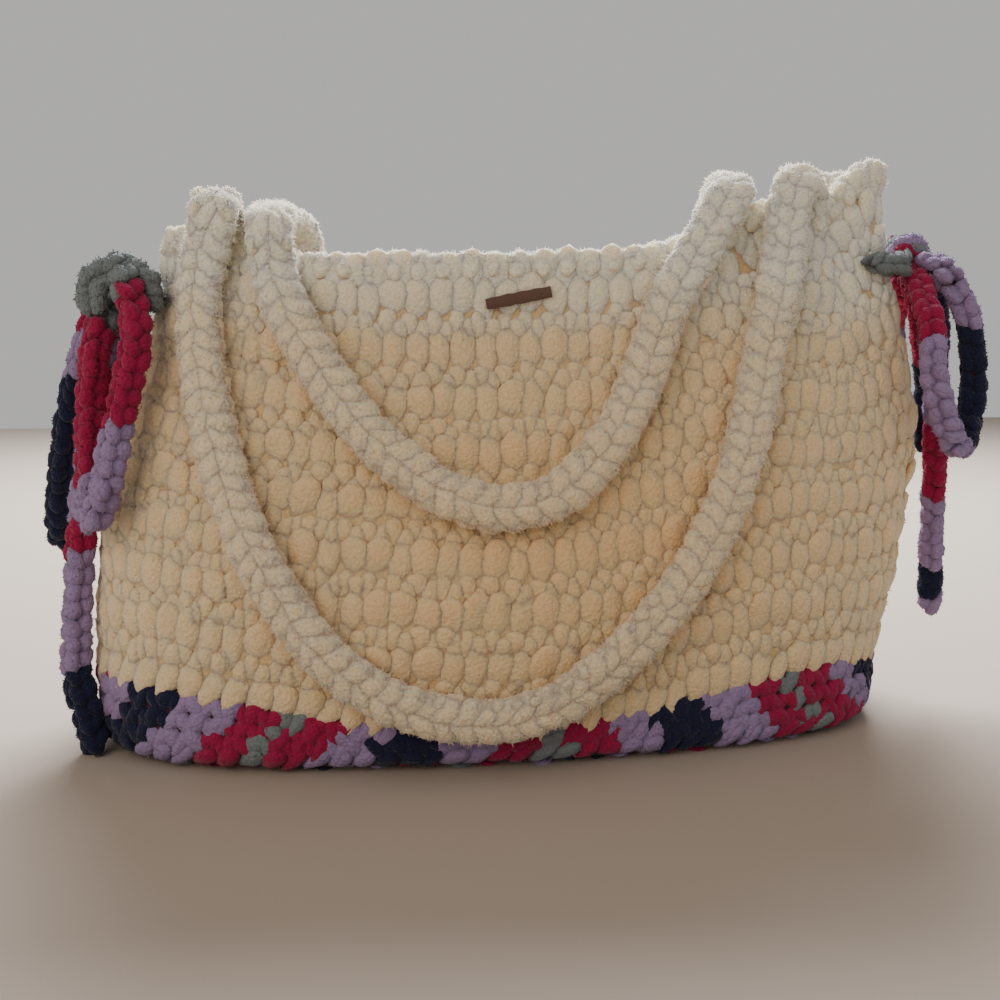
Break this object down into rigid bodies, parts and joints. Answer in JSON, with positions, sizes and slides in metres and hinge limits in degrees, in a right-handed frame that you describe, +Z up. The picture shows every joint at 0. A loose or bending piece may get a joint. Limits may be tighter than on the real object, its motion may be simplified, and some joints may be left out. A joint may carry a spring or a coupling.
{
  "type": "crocheted tote bag",
  "caption": "Wide soft tote crocheted in thick chenille yarn, with a coloured bottom band, two strap handles flopped over the front and a tied bow cinching each top corner.",
  "frame": {"origin": "middle of the flat underside, on the floor", "axes": "+X to the right as seen from the front, -Y the front wall with the label and the flopped straps, +Z up to the rim"},
  "size_m": [0.5001, 0.185, 0.2841],
  "materials": {
    "cream_chenille": "matt plush",
    "changing_chenille": "matt plush",
    "brown_strip": "matt"
  },
  "bodies": {
    "root": {"body": "cream_chenille", "handle_front": "cream_chenille", "handle_back": "cream_chenille", "base": "changing_chenille", "tie_left_knot": "changing_chenille", "tie_right_knot": "changing_chenille", "tie_left_lead_front": "changing_chenille", "tie_left_lead_back": "changing_chenille", "tie_right_lead_front": "changing_chenille", "tie_right_lead_back": "changing_chenille", "tie_left_loop_front": "changing_chenille", "tie_left_loop_back": "changing_chenille", "tie_left_tail_front": "changing_chenille", "tie_left_tail_back": "changing_chenille", "tie_right_loop_front": "changing_chenille", "tie_right_loop_back": "changing_chenille", "tie_right_tail_front": "changing_chenille", "tie_right_tail_back": "changing_chenille", "label": "brown_strip"}
  },
  "joints": []
}
